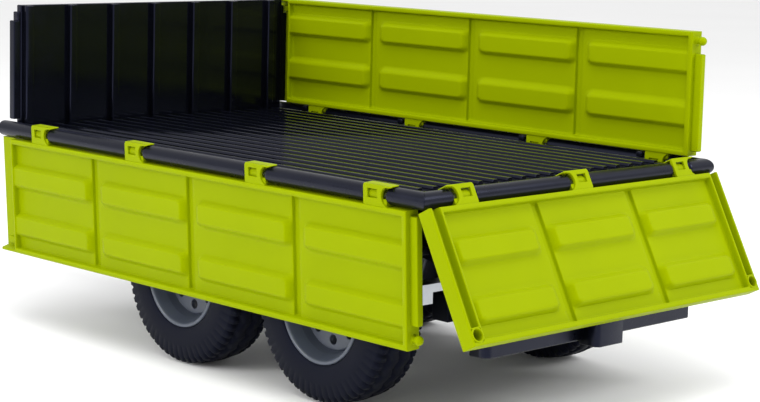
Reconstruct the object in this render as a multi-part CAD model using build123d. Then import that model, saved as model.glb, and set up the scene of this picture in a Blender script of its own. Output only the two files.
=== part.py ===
from build123d import *
import os

# Toy-scale tandem-axle tipping farm trailer with drop sides, all sizes in millimetres.
# While the pieces are drawn, x = 0 is the front end of the side walls, +X points to the
# tailgate, +Y to the right-hand side and z = 0 is the floor. The last step shifts every
# piece so that the origin is at the bottom centre of the whole trailer.

# Running gear
tyre_r = 36.2
tyre_w = 22.0
tyre_shoulder = 4.0
rim_r = 20.5
rim_wall = 1.6
axle_r = 2.5
axle_bar = 8.0               # square section of an axle between the wheels
axle_spacing = 83.4
rock_deg = 8.0
running_gap = 0.06           # radial, between a shaft and the bore that turns on it
side_gap = 0.4               # between two faces that move past each other

# Load bed
bed_len = 253.7              # length of the side walls
hinge_half = 80.0            # side hinge rods, from the centre line
hinge_z = tyre_r + 50.0
rear_hinge_in = 5.2          # rear hinge rod behind the ends of the side walls
rod_r = 2.0
tube_r = 3.3                 # hinge rail round the rod
floor_t = 3.6
floor_over = 0.6             # floor plate top above the hinge rods
floor_half = hinge_half - 6.0
rib_n = 18
rib_side_in = 6.425          # middle of the end floor rib to the side of the floor
rib_w = 2.9
rib_h = 1.3
rib_end_in = 8.5             # floor rib ends to the rear edge of the floor
web_t = 2.5

# Drop sides and tailgate
wall_h = 54.1                # hinge rod to free edge
wall_t = 6.5
wall_in = 4.0                # inner rim face inboard of the rod when closed
wall_foot = 3.8              # hinge edge above the rod
lip = 2.2
recess_depth = 3.2
field_depth = 2.2
pillow_depth = 0.7
skin = 1.6
divider_w = 3.6
divider_n = 3
first_divider = 68.0
divider_past = 2.18          # a fourth divider would stand this far past the wall
clip_w = 11.7
clip_starts = (26.0, 92.0, bed_len - 86.8, bed_len - 21.8)
clip_neck = 5.0
hook_r = 3.8
gate_half = hinge_half + 2.5
gate_clip_at = hinge_half - 17.2
gate_divider_at = 27.0
hang_deg = 183.0             # closed to hanging, side wall
gate_deg = 152.4             # closed to hanging, tailgate
slot_flange = 1.8            # front end of a side wall: flange, then slot
slot_w = 7.0
slot_wall = 1.3
slot_depth = 3.4
key_len = 3.5                # rib on the rear end of a side wall
key_t = 2.8
key_in = 2.1                 # behind the inner rim face
key_from = 5.8
key_to = wall_h - 9.0
ball_r = 1.8
ball_stalk_r = 1.188
ball_socket_gap = 0.5
ball_h = wall_h - 3.8
nub = 5.0
nub_h = 3.0
nub_t = 1.2
nub_at = wall_h - 6.3

# Headboard
head_half = hinge_half - 4.4
head_x = 3.0
head_t = 3.3
head_top = wall_h - 0.2      # above the hinge rods
head_rib_n = 7
head_rib_w = 4.0
head_rib_proud = 2.6
head_rib_in = 5.2            # inner edge of the left end rib to the end of the board
head_rib_out = 6.8           # outer edge of the right end rib to the other end
strip_t = 3.5
strip_reach = 3.4
strip_top = wall_h - 3.1

rear_rod_x = bed_len + rear_hinge_in

# Chassis
rail_y = 18.0
rail_w = 5.0
rail_z = tyre_r + 20.0
rail_h = 10.0
rail_front = 20.0
pivot_x = rear_rod_x - 20.9
pivot_z = tyre_r + 40.0
pivot_r = 2.5
ear_r = 5.5
rail_rear = pivot_x + 8.0
bogie_x = rear_rod_x - 103.6
bogie_z = tyre_r + 12.0
bogie_pin_r = 4.0
bogie_beam_y = 27.0
bogie_beam_w = 6.0
sill_y = 24.0                # bed sills, which carry the floor
sill_w = 6.0
sill_z = tyre_r + 38.0
bearer_h = 5.0
axle_xs = (bogie_x - axle_spacing / 2, bogie_x + axle_spacing / 2)
track_outer = 2 * (hinge_half - 8.0)   # over the outer sidewalls

# Tipping ram
ram_base = (axle_xs[0] + 14.9, tyre_r - 4.0)
ram_top = (axle_xs[0] + 6.4, pivot_z)
ram_pin_r = 2.5
ram_radii = (6.6, 5.3, 4.0, 2.8)
ram_wall = 1.14
ram_tops = (37.0, 38.5, 40.0)
ram_feet = (0.0, 3.0, 3.5, 4.0)
ram_bottom_gap = 0.3
ram_ball_r = 3.6
ram_neck_r = 1.7
cup_gap = 0.8
cup_wall = 1.7

# Drawbar, stand and bumper
eye_x = -96.0
eye_z = tyre_r + 7.0
eye_r = 8.0
eye_t = 7.0
eye_bore = 4.0
draw_half = 6.0
draw_end = -87.0
draw_knee = -20.0            # the beam rises from the eye to here
stand_x = 30.0
stand_z = tyre_r + 24.0
stand_w = 8.0
bumper_half = hinge_half - 20.0
bumper_x = rear_rod_x + 5.1
bumper_t = 8.0
bumper_z = hinge_z - wall_h - 2.9
bumper_h = 10.0
coupling_len = 8.0
coupling_half = 8.0
coupling_drop = 1.5          # under the bumper bar
coupling_bore = 2.6

floor_z = hinge_z + floor_over
floor_bottom = floor_z - floor_t
floor_front = 2.5
floor_rear = rear_rod_x - wall_in - 1.8
rail_top = rail_z + rail_h
wheel_in = track_outer / 2 - tyre_w
both = (-1, 1)


def block(x0, x1, y0, y1, z0, z1):
    centre = Pos((x0 + x1) / 2, (y0 + y1) / 2, (z0 + z1) / 2)
    return centre * Box(abs(x1 - x0), abs(y1 - y0), abs(z1 - z0))


def bar_x(y, z, r, x0, x1):
    return Pos((x0 + x1) / 2, y, z) * Rot(0, 90, 0) * Cylinder(r, x1 - x0)


def bar_y(x, z, r, y0, y1):
    return Pos(x, (y0 + y1) / 2, z) * Rot(90, 0, 0) * Cylinder(r, abs(y1 - y0))


def bar_z(x, y, r, z0, z1):
    return Pos(x, y, (z0 + z1) / 2) * Cylinder(r, z1 - z0)


def side_plate(points, y0, y1):
    outline = Polyline(*[(x, y0, z) for x, z in points], close=True)
    return extrude(make_face(outline), amount=y1 - y0, dir=(0, 1, 0))


def flat_plate(points, z0, z1):
    outline = Polyline(*[(x, y, z0) for x, y in points], close=True)
    return extrude(make_face(outline), amount=z1 - z0, dir=(0, 0, 1))


def group(pieces):
    return Compound([solid for piece in pieces for solid in piece.solids()])


def mirrored(piece):
    return mirror(piece, about=Plane.XZ)


parts = {}


# ---- drop sides: a ribbed pressing with a lip all round and hooks for the hinge rod ----
# Wall frame: x along the wall, y outwards from the rod, z up from the rod, wall closed.

def wall_blank(start, end, pocket_from, pocket_to):
    inner = -wall_in
    low = wall_foot + lip
    high = wall_h - lip
    blank = block(start, end, inner, inner + wall_t, wall_foot, wall_h)
    blank -= block(pocket_from, pocket_to, inner, inner + recess_depth, low, high)
    back = inner + recess_depth + skin
    return blank - block(pocket_from, pocket_to, back, inner + wall_t, low, high)


pillow_step = 1.2
pillow_bands = ((0.28, 0.47), (0.68, 0.865))   # shares of the wall's height


def wall_field(left, right):
    inner = -wall_in
    low = wall_foot + lip
    high = wall_h - lip
    field = block(left, right, inner + field_depth, inner + recess_depth, low, high)
    for bottom, top in pillow_bands:
        pillow = block(left, right, inner + pillow_depth, inner + recess_depth,
                       bottom * wall_h, top * wall_h)
        long_edges = pillow.edges().filter_by(Axis.X).group_by(Axis.Y)[0]
        field += chamfer(long_edges, pillow_step)
    return field


def wall_hook(start):
    hook = bar_x(0, 0, hook_r, start, start + clip_w)
    hook += block(start, start + clip_w, -clip_neck / 2, clip_neck / 2, 0, wall_foot + lip)
    return hook


def rod_bore(length_from, length_to):
    return bar_x(0, 0, rod_r + running_gap, length_from, length_to)


def side_wall():
    inner = -wall_in
    slot_end = slot_flange + slot_w
    pocket_from = slot_end + slot_wall
    pocket_to = bed_len - lip
    wall = wall_blank(0, bed_len, pocket_from, pocket_to)
    wall -= block(slot_flange, slot_end, inner, inner + slot_depth, 0, wall_h)
    nub_x = (slot_flange + slot_end) / 2
    wall += block(nub_x - nub / 2, nub_x + nub / 2, inner + slot_depth - nub_t,
                  inner + slot_depth, nub_at, nub_at + nub_h)
    edges = [pocket_from]
    divider_pitch = (bed_len + divider_past - first_divider) / divider_n
    for k in range(divider_n):
        middle = first_divider + k * divider_pitch
        edges += [middle - divider_w / 2, middle + divider_w / 2]
    edges.append(pocket_to)
    for left, right in zip(edges[::2], edges[1::2]):
        wall += wall_field(left, right)
    for start in clip_starts:
        wall += wall_hook(start)
    wall -= rod_bore(0, bed_len)
    wall += block(bed_len, bed_len + key_len, inner + key_in, inner + key_in + key_t,
                  key_from, key_to)
    key_middle = inner + key_in + key_t / 2
    ball_x = bed_len + key_len - 1
    wall += bar_x(key_middle, ball_h, ball_stalk_r, bed_len, ball_x)
    wall += Pos(ball_x, key_middle, ball_h) * Sphere(ball_r)
    return wall


def gate_wall():
    inner = -wall_in
    key_low = hinge_half + inner + key_in
    slot_from = key_low - side_gap
    slot_to = key_low + key_t + side_gap
    pocket = slot_from - slot_wall
    wall = wall_blank(-gate_half, gate_half, -pocket, pocket)
    half = divider_w / 2
    edges = (-pocket, -gate_divider_at - half, -gate_divider_at + half,
             gate_divider_at - half, gate_divider_at + half, pocket)
    for left, right in zip(edges[::2], edges[1::2]):
        wall += wall_field(left, right)
    for middle in (-gate_clip_at, 0, gate_clip_at):
        wall += wall_hook(middle - clip_w / 2)
    wall -= rod_bore(-gate_half, gate_half)
    for side in both:
        wall -= block(side * slot_from, side * slot_to, inner, inner + slot_depth,
                      0, key_to + lip)
        ring_y = side * (slot_from + slot_to) / 2
        wall -= Pos(ring_y, 0, ball_h) * Rot(90, 0, 0) * Cylinder(ball_r + ball_socket_gap, 4 * wall_t)
    return wall


right_closed = Pos(0, hinge_half, hinge_z) * side_wall()
left_closed = mirrored(right_closed)
left_hinge = Axis((0, -hinge_half, hinge_z), (1, 0, 0))
rear_hinge = Axis((rear_rod_x, 0, hinge_z), (0, 1, 0))
gate_closed = Pos(rear_rod_x, 0, hinge_z) * Rot(0, 0, -90) * gate_wall()
parts["right_side"] = right_closed
parts["left_side"] = left_closed.rotate(left_hinge, hang_deg)
parts["tailgate"] = gate_closed.rotate(rear_hinge, gate_deg)


# ---- hinge rails: tubes round the rods, cut away where the hooks of the walls sit ----

hook_gap = clip_w + 2 * side_gap
notch_in = 1.2               # metal left between the floor and the notch for a hook


def side_rail():
    web = block(0, bed_len, floor_half, hinge_half, floor_bottom, floor_bottom + web_t)
    tube = bar_x(hinge_half, hinge_z, tube_r, 0, bed_len)
    rail = web + tube
    for start in clip_starts:
        rail -= block(start - side_gap, start + clip_w + side_gap, floor_half + notch_in,
                      hinge_half + tube_r, hinge_z - 2 * tube_r, hinge_z + 2 * tube_r)
    return rail - bar_x(hinge_half, hinge_z, rod_r, 0, bed_len)


def rear_rail():
    rail = bar_y(rear_rod_x, hinge_z, tube_r, -hinge_half, hinge_half)
    rail += block(floor_rear, rear_rod_x, -floor_half, floor_half,
                  floor_bottom, floor_bottom + web_t)
    for middle in (-gate_clip_at, 0, gate_clip_at):
        rail -= block(floor_rear + notch_in, rear_rod_x + tube_r, middle - hook_gap / 2,
                      middle + hook_gap / 2, hinge_z - 2 * tube_r, hinge_z + 2 * tube_r)
    return rail - bar_y(rear_rod_x, hinge_z, rod_r + running_gap, -hinge_half, hinge_half)


parts["right_hinge_rail"] = side_rail()
parts["left_hinge_rail"] = mirrored(side_rail())
rear_tube = rear_rail()
parts["rear_hinge_rail"] = rear_tube
rod_from = 1.0
parts["right_hinge_rod"] = bar_x(hinge_half, hinge_z, rod_r, rod_from, bed_len - rod_from)
parts["left_hinge_rod"] = bar_x(-hinge_half, hinge_z, rod_r, rod_from, bed_len - rod_from)
rear_rod_half = hinge_half - rod_from
parts["rear_hinge_rod"] = bar_y(rear_rod_x, hinge_z, rod_r, -rear_rod_half, rear_rod_half)
corners = []
for side in both:
    elbow = bar_x(side * hinge_half, hinge_z, tube_r, bed_len, rear_rod_x)
    elbow += Pos(rear_rod_x, side * hinge_half, hinge_z) * Sphere(tube_r)
    elbow -= block(floor_rear, rear_rod_x + tube_r, -side * hinge_half, side * hinge_half,
                   hinge_z - tube_r, hinge_z + tube_r)
    corners.append(elbow)
parts["rail_corners"] = group(corners)


# ---- bed: ribbed floor on sills and bearers, with the headboard at the front ----

floor = block(floor_front, floor_rear, -floor_half, floor_half, floor_bottom, floor_z)
rib_from = head_x + head_t + head_rib_proud + 1.0
rib_pitch = 2 * (floor_half - rib_side_in) / (rib_n - 1)
for k in range(rib_n):
    y = (k - (rib_n - 1) / 2) * rib_pitch
    floor += block(rib_from, floor_rear - rib_end_in, y - rib_w / 2, y + rib_w / 2,
                   floor_z, floor_z + rib_h)
parts["bed_floor"] = floor

sill_front = 10.0
sill_rear = floor_rear - 6.0
for side, name in ((-1, "left"), (1, "right")):
    inner_y = side * sill_y
    outer_y = side * (sill_y + sill_w)
    sill = block(sill_front, sill_rear, inner_y, outer_y, sill_z, floor_bottom)
    sill += bar_y(pivot_x, pivot_z, ear_r, min(inner_y, outer_y), max(inner_y, outer_y))
    sill -= bar_y(pivot_x, pivot_z, pivot_r + running_gap, -hinge_half, hinge_half)
    parts["bed_sill_" + name] = sill

bearer_w = 5.0
bearer_half = floor_half - 2.0
bearer_z = floor_bottom - bearer_h
outer_sill = sill_y + sill_w
bearers = [block(head_x, head_x + 7, -bearer_half, bearer_half, bearer_z, floor_bottom),
           block(sill_rear, sill_rear + bearer_w, -bearer_half, bearer_half, bearer_z, floor_bottom)]
for x in (14.0, pivot_x - 170.0, pivot_x - 86.0, pivot_x - 12.0):
    for side in both:
        bearers.append(block(x, x + bearer_w, side * outer_sill, side * bearer_half,
                             bearer_z, floor_bottom))
    bearers.append(block(x, x + bearer_w, -sill_y, sill_y, bearer_z, floor_bottom))
parts["bed_bearers"] = group(bearers)

head_z = hinge_z + head_top
board = block(head_x, head_x + head_t, -head_half, head_half, floor_z, head_z)
head_rib_pitch = (2 * head_half - head_rib_in - head_rib_out) / (head_rib_n - 1)
for k in range(head_rib_n):
    edge = head_rib_in - head_half + k * head_rib_pitch
    rib_face = head_x + head_t + head_rib_proud
    board += block(head_x, rib_face, edge - head_rib_w, edge, floor_z, head_z)
strip_low = hinge_z + tube_r + 0.8
strip_end = head_half + strip_reach
nub_room = 0.5               # round a wall's nub, in the strip's notch for it
for side in both:
    strip = block(floor_front, floor_front + strip_t, side * (head_half - 1),
                  side * strip_end, strip_low, hinge_z + strip_top)
    strip -= block(floor_front, floor_front + strip_t, side * (strip_end - nub_t - 0.4),
                   side * strip_end, hinge_z + nub_at - nub_room,
                   hinge_z + nub_at + nub_h + nub_room)
    board += strip
parts["headboard"] = board

post_y = head_half - 25.6
post_w = 6.0
post_t = 4.0
post_top = head_z - 6.0
posts = []
for side in both:
    post = block(head_x - post_t, head_x, side * post_y, side * (post_y + post_w),
                 bearer_z, post_top)
    post -= block(floor_front, head_x, side * post_y, side * (post_y + post_w),
                  floor_bottom, floor_z)
    posts.append(post)
parts["headboard_posts"] = group(posts)
bolts = []
bolt_r = 1.6
bolt_head = 1.5
for side in both:
    for z in (hinge_z + 8.0, hinge_z + 26.0, hinge_z + 42.0):
        bolts.append(bar_x(side * (post_y + post_w / 2), z, bolt_r,
                           head_x - post_t - bolt_head, head_x - post_t))
parts["headboard_bolts"] = group(bolts)

cup_centre = Pos(ram_top[0], 0, ram_top[1])
cup = bar_z(ram_top[0], 0, ram_ball_r + cup_gap + cup_wall, ram_top[1], floor_bottom)
cup -= cup_centre * Sphere(ram_ball_r + cup_gap)
parts["ram_cup"] = cup


# ---- chassis: two rails tied by cross members, with the tipping pivot at the rear ----

for side, name in ((-1, "left"), (1, "right")):
    rail = block(rail_front, rail_rear, side * rail_y, side * (rail_y + rail_w), rail_z, rail_top)
    ear_low = side * (rail_y + 0.5)
    ear_high = side * (rail_y + rail_w)
    rail += block(pivot_x - ear_r, pivot_x + ear_r, ear_low, ear_high, rail_top, pivot_z)
    rail += bar_y(pivot_x, pivot_z, ear_r, min(ear_low, ear_high), max(ear_low, ear_high))
    rail -= bar_y(pivot_x, pivot_z, pivot_r, -hinge_half, hinge_half)
    parts["chassis_rail_" + name] = rail
pivot_half = outer_sill + 0.6
pin_head = 1.5               # radius of a pin's head past the pin
pin_head_t = 2.0
shaft = bar_y(pivot_x, pivot_z, pivot_r, -pivot_half, pivot_half)
for side in both:
    end = side * pivot_half
    tip = end + side * pin_head_t
    shaft += bar_y(pivot_x, pivot_z, pivot_r + pin_head, min(end, tip), max(end, tip))
parts["tipping_shaft"] = shaft

front_cross = 12.0
brace_t = 4.0
parts["front_cross_member"] = block(front_cross, rail_front, -rail_y - rail_w, rail_y + rail_w,
                                    rail_z - brace_t, rail_top)
cross_w = 6.0
cross_members = [block(x, x + cross_w, -rail_y, rail_y, rail_z, rail_top)
                 for x in (pivot_x - 144.0, pivot_x - 16.0)]
parts["cross_members"] = group(cross_members)
rest_x = 34.0
rest_len = 14.0
rest_gap = 0.2               # under the sills with the bed down
rests = []
for side in both:
    rests.append(block(rest_x, rest_x + rest_len, side * rail_y, side * outer_sill,
                       rail_top, sill_z - rest_gap))
parts["bed_rests"] = group(rests)

hanger_z = bogie_z - 6.0
hanger_top = 15.0            # half lengths along the rail, at the rail and at the pin
hanger_foot = 7.0
hangers = []
for side in both:
    hanger = side_plate(((bogie_x - hanger_top, rail_z), (bogie_x + hanger_top, rail_z),
                         (bogie_x + hanger_foot, hanger_z), (bogie_x - hanger_foot, hanger_z)),
                        -rail_w / 2, rail_w / 2)
    hanger = Pos(0, side * (rail_y + rail_w / 2), 0) * hanger
    hangers.append(hanger - bar_y(bogie_x, bogie_z, bogie_pin_r, -hinge_half, hinge_half))
parts["bogie_hangers"] = group(hangers)
bogie_pin_half = bogie_beam_y + bogie_beam_w + 0.5
collar_wall = 2.0
collar_t = 2.5
pin = bar_y(bogie_x, bogie_z, bogie_pin_r, -bogie_pin_half, bogie_pin_half)
for side in both:
    end = side * bogie_pin_half
    tip = end + side * collar_t
    pin += bar_y(bogie_x, bogie_z, bogie_pin_r + collar_wall, min(end, tip), max(end, tip))
parts["bogie_pin"] = pin
spacers = []
for side in both:
    low = side * (rail_y + rail_w)
    high = side * (bogie_beam_y - side_gap)
    spacer = bar_y(bogie_x, bogie_z, bogie_pin_r + collar_wall, min(low, high), max(low, high))
    spacers.append(spacer - bar_y(bogie_x, bogie_z, bogie_pin_r, -hinge_half, hinge_half))


# ---- rocking bogie: a beam on each side carries both axles ----

axle_z = tyre_r
half_bar = axle_bar / 2
axle_bar_half = wheel_in - 2.0
hub_in = wheel_in + 3.0
hub_out = track_outer / 2 - 6.0
front_x, back_x = axle_xs
end_len = 8.0                # half sizes of the beam's ends and its middle
end_high = 6.0
middle_up = 7.0
middle_down = 9.0
for side, name in ((-1, "left"), (1, "right")):
    profile = ((front_x - end_len, axle_z - end_high), (front_x + end_len, axle_z - end_high),
               (bogie_x, bogie_z - middle_down),
               (back_x - end_len, axle_z - end_high), (back_x + end_len, axle_z - end_high),
               (back_x + end_len, axle_z + end_high), (bogie_x + end_len, bogie_z + middle_up),
               (bogie_x - end_len, bogie_z + middle_up), (front_x - end_len, axle_z + end_high))
    rocker = side_plate(profile, -bogie_beam_w / 2, bogie_beam_w / 2)
    rocker = Pos(0, side * (bogie_beam_y + bogie_beam_w / 2), 0) * rocker
    rocker -= bar_y(bogie_x, bogie_z, bogie_pin_r + running_gap, -hinge_half, hinge_half)
    for x in axle_xs:
        rocker -= block(x - half_bar, x + half_bar, -hinge_half, hinge_half,
                        axle_z - half_bar, axle_z + half_bar)
    parts["bogie_beam_" + name] = rocker
for x, name in zip(axle_xs, ("front", "rear")):
    axle = block(x - half_bar, x + half_bar, -axle_bar_half, axle_bar_half,
                 axle_z - half_bar, axle_z + half_bar)
    axle += bar_y(x, axle_z, axle_r, -hub_out - 1, hub_out + 1)
    for side in both:
        low = side * axle_bar_half
        high = side * (hub_in - side_gap)
        axle += bar_y(x, axle_z, half_bar + 0.5, min(low, high), max(low, high))
    parts[name + "_axle"] = axle
collars = []
nut_wall = 1.5
nut_t = 2.0
nut_fit = 0.02               # radial, between an axle nut and the axle
nut_bore_half = hub_out + nut_t + 1
for x in axle_xs:
    for side in both:
        low = side * (hub_out + side_gap)
        high = side * (hub_out + side_gap + nut_t)
        collar = bar_y(x, axle_z, axle_r + nut_wall, min(low, high), max(low, high))
        collars.append(collar - bar_y(x, axle_z, axle_r + nut_fit, -nut_bore_half, nut_bore_half))
parts["axle_nuts"] = group(collars)


# ---- wheels: tyre, dished rim with round holes, and a ring of wheel nuts ----

hole_n = 8
hole_r = 1.7
hole_ring = 13.5
nut_n = 8
nut_r = 1.1
nut_ring = 7.6
nut_proud = 1.6
rim_in = 1.5                 # rim edges, in from the sidewalls: outer and inner
rim_back_in = 2.0
disc_y = 8.0                 # disc face, in from the outer sidewall
disc_t = 2.0
hub_r = 5.6


def ring(outer, inner, y0, y1):
    return bar_y(0, 0, outer, y0, y1) - bar_y(0, 0, inner, y0, y1)


def tyre():
    shape = bar_y(0, 0, tyre_r, -tyre_w, 0)
    shape = fillet(shape.edges().filter_by(GeomType.CIRCLE), tyre_shoulder)
    return shape - bar_y(0, 0, rim_r, -tyre_w, 0)


def rim():
    shape = ring(rim_r, rim_r - rim_wall, -tyre_w + rim_back_in, -rim_in)
    shape += bar_y(0, 0, rim_r, -disc_y - disc_t, -disc_y)
    shape += bar_y(0, 0, hub_r, hub_in - track_outer / 2, hub_out - track_outer / 2)
    shape -= bar_y(0, 0, axle_r + running_gap, -tyre_w, 0)
    for k in range(hole_n):
        hole = Pos(0, 0, hole_ring) * bar_y(0, 0, hole_r, -tyre_w, 0)
        shape -= Rot(0, 360 * k / hole_n, 0) * hole
    return shape


def nuts():
    pieces = []
    for k in range(nut_n):
        turn = Rot(0, 360 * (k + 0.5) / nut_n, 0)
        pieces.append(turn * bar_y(0, nut_ring, nut_r, -disc_y, -disc_y + nut_proud))
    return pieces


for x, end in zip(axle_xs, ("front", "rear")):
    for side, name in ((-1, "left"), (1, "right")):
        place = Pos(x, track_outer / 2, axle_z)
        for kind, shape in (("tyre", tyre()), ("rim", rim()), ("nuts", group(nuts()))):
            piece = place * shape
            if side < 0:
                piece = mirrored(piece)
            if kind == "nuts":
                piece = group([piece])
            parts["_".join((end, name, kind))] = piece


# ---- tipping ram: barrel on a cross pin, three telescopic stages and a ball ----

ram_dx = ram_top[0] - ram_base[0]
ram_dz = ram_top[1] - ram_base[1]
ram_len = (ram_dx ** 2 + ram_dz ** 2) ** 0.5
ram_frame = Plane(origin=(ram_base[0], 0, ram_base[1]), x_dir=(0, 1, 0),
                  z_dir=(ram_dx / ram_len, 0, ram_dz / ram_len))
bracket_y = 14.0
bracket_t = rail_y - bracket_y
bracket_half = 6.5
ram_eye_wall = 2.2
rod_proud = 0.5              # the last stage over the one round it, ram down


def tube(outer, inner, low, high):
    shape = Pos(0, 0, (low + high) / 2) * Cylinder(outer, high - low)
    if inner:
        shape -= Pos(0, 0, (low + high) / 2) * Cylinder(inner, high - low)
    return shape


barrel = tube(ram_radii[0], 0, ram_feet[0], ram_tops[0])
barrel_bore = tube(ram_radii[0] - ram_wall, 0, ram_feet[1] - ram_bottom_gap, ram_tops[0])
barrel = ram_frame * (barrel - barrel_bore)
eye_half = bracket_y - side_gap
barrel += bar_y(ram_base[0], ram_base[1], ram_pin_r + ram_eye_wall, -eye_half, eye_half)
barrel -= bar_y(ram_base[0], ram_base[1], ram_pin_r + running_gap, -eye_half, eye_half)
barrel -= ram_frame * barrel_bore
parts["ram_barrel"] = barrel
for k in (1, 2):
    stage = tube(ram_radii[k], ram_radii[k] - ram_wall, ram_feet[k], ram_tops[k])
    parts["ram_stage_" + str(k)] = ram_frame * stage
rod = tube(ram_radii[3], 0, ram_feet[3], ram_tops[2] + rod_proud)
rod += tube(ram_neck_r, 0, ram_tops[2], ram_len)
rod += Pos(0, 0, ram_len) * Sphere(ram_ball_r)
parts["ram_rod"] = ram_frame * rod
pin_half = rail_y
parts["ram_pin"] = bar_y(ram_base[0], ram_base[1], ram_pin_r, -pin_half, pin_half)
ram_brackets = []
for side in both:
    bracket = block(ram_base[0] - bracket_half, ram_base[0] + bracket_half, side * bracket_y,
                    side * rail_y, ram_base[1] - bracket_half, rail_z + 6)
    bracket -= bar_y(ram_base[0], ram_base[1], ram_pin_r, -pin_half, pin_half)
    ram_brackets.append(bracket)
parts["ram_brackets"] = group(ram_brackets)


# ---- drawbar with its towing eye and braces ----

beam_profile = ((front_cross, rail_top), (front_cross, rail_z), (draw_knee, rail_z - 4),
                (draw_end, eye_z - eye_t / 2), (draw_end, eye_z + eye_t / 2),
                (draw_knee, rail_z + 6), (draw_knee + 12, rail_top))
parts["drawbar"] = side_plate(beam_profile, -draw_half, draw_half)
eye = bar_z(eye_x, 0, eye_r, eye_z - eye_t / 2, eye_z + eye_t / 2)
eye += block(eye_x, draw_end, -draw_half + 1, draw_half - 1, eye_z - eye_t / 2, eye_z + eye_t / 2)
parts["towing_eye"] = eye - bar_z(eye_x, 0, eye_bore, eye_z - eye_t, eye_z + eye_t)
braces = []
for side in both:
    brace = ((front_cross, side * 22), (front_cross, side * 15),
             (draw_knee - 18, side * draw_half), (draw_knee - 25, side * draw_half))
    braces.append(flat_plate(brace, rail_z - brace_t, rail_z))
parts["drawbar_braces"] = group(braces)


# ---- parking stand: a drop leg between the rails, which folds back and up ----

stand_pin_r = 2.0
foot_t = 4.0
leg_half = stand_w / 2
leg = block(stand_x - leg_half, stand_x + leg_half, -leg_half, leg_half, foot_t, stand_z)
leg += bar_y(stand_x, stand_z, leg_half, -leg_half, leg_half)
leg -= bar_y(stand_x, stand_z, stand_pin_r + running_gap, -leg_half, leg_half)
parts["stand_leg"] = leg
foot_half = 8.0
parts["stand_foot"] = block(stand_x - 15, stand_x + 1, -foot_half, foot_half, 0, foot_t)
parts["stand_pin"] = bar_y(stand_x, stand_z, stand_pin_r, -rail_y, rail_y)
sleeve_wall = 1.5
sleeves = []
for side in both:
    low = side * (leg_half + side_gap)
    sleeve = bar_y(stand_x, stand_z, stand_pin_r + sleeve_wall, min(low, side * rail_y),
                   max(low, side * rail_y))
    sleeves.append(sleeve - bar_y(stand_x, stand_z, stand_pin_r, -rail_y, rail_y))
parts["spacer_sleeves"] = group(spacers + sleeves)


# ---- rear: cross member under the rails, bumper bar and trailer coupling ----

cross_z = tyre_r + 3.0
cross_top = cross_z + 10.0
cross_x = pivot_x + 6.0
cross_depth = 8.0
cross_back = cross_x + cross_depth
cross_half = bumper_half - 1.0
plate_front = pivot_x - 16.0
plate_t = 4.0
arm_y = 33.0
arm_t = 6.0
parts["rear_cross_member"] = block(cross_x, cross_back, -cross_half, cross_half,
                                   cross_z, cross_top)
brackets = []
for side in both:
    plate = side_plate(((plate_front, rail_z + 8), (cross_x, rail_z + 8), (cross_x, cross_z),
                        (cross_x - 6, cross_z), (plate_front, rail_z - 4)), -plate_t / 2, plate_t / 2)
    brackets.append(Pos(0, side * (rail_y + rail_w + plate_t / 2), 0) * plate)
    arm = side_plate(((cross_back, cross_top - 2), (bumper_x, bumper_z + bumper_h),
                      (bumper_x, bumper_z + 2), (cross_back, cross_z)), -arm_t / 2, arm_t / 2)
    brackets.append(Pos(0, side * arm_y, 0) * arm)
parts["bumper_brackets"] = group(brackets)
bevel = 7.0
taper = 2.0
outline = [(bumper_x, -bumper_half), (bumper_x + bumper_t, -bumper_half + taper),
           (bumper_x + bumper_t, bumper_half - taper), (bumper_x, bumper_half)]
bar = flat_plate(outline, bumper_z, bumper_z + bumper_h)
for side in both:
    end = side * bumper_half
    corner = Polyline((bumper_x, end, bumper_z), (bumper_x, end - side * bevel, bumper_z),
                      (bumper_x, end, bumper_z + bevel / 2), close=True)
    bar -= extrude(make_face(corner), amount=bumper_t, dir=(1, 0, 0))
parts["rear_bumper"] = bar
coupling_x = bumper_x + bumper_t + coupling_len
coupling = block(bumper_x + bumper_t, coupling_x, -coupling_half, coupling_half,
                 bumper_z - coupling_drop, bumper_z + bumper_h - coupling_drop)
coupling_at = coupling_x - coupling_len / 2
parts["rear_coupling"] = coupling - bar_z(coupling_at, 0, coupling_bore, 0, hinge_z)


# ---- origin at the bottom centre of the whole trailer, then one STEP per piece ----

box = group(parts.values()).bounding_box()
shift = (-(box.min.X + box.max.X) / 2, -(box.min.Y + box.max.Y) / 2, -box.min.Z)

os.makedirs("parts", exist_ok=True)
for name, shape in parts.items():
    export_step(Pos(*shift) * shape, "parts/" + name + ".step")
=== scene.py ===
import math
import bpy
from mathutils import Matrix, Vector


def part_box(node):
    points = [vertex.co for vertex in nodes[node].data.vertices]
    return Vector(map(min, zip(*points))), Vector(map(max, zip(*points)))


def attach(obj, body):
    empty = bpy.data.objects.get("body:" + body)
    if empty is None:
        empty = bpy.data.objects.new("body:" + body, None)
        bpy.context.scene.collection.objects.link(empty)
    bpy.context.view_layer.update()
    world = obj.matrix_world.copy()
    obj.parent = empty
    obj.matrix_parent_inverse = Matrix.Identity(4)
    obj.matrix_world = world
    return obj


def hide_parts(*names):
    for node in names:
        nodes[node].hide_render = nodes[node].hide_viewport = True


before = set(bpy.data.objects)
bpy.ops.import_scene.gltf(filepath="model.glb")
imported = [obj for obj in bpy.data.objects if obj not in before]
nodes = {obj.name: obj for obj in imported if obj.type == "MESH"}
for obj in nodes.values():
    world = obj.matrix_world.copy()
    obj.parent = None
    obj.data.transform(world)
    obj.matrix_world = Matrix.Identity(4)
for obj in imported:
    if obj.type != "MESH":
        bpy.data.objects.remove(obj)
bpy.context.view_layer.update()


# ---- Camera, floor and light ----
# A small product table: white card floor, a soft box over the trailer, one on the camera's
# left, one high behind on the right, and a pale room. The lens is a short telephoto.

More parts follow.
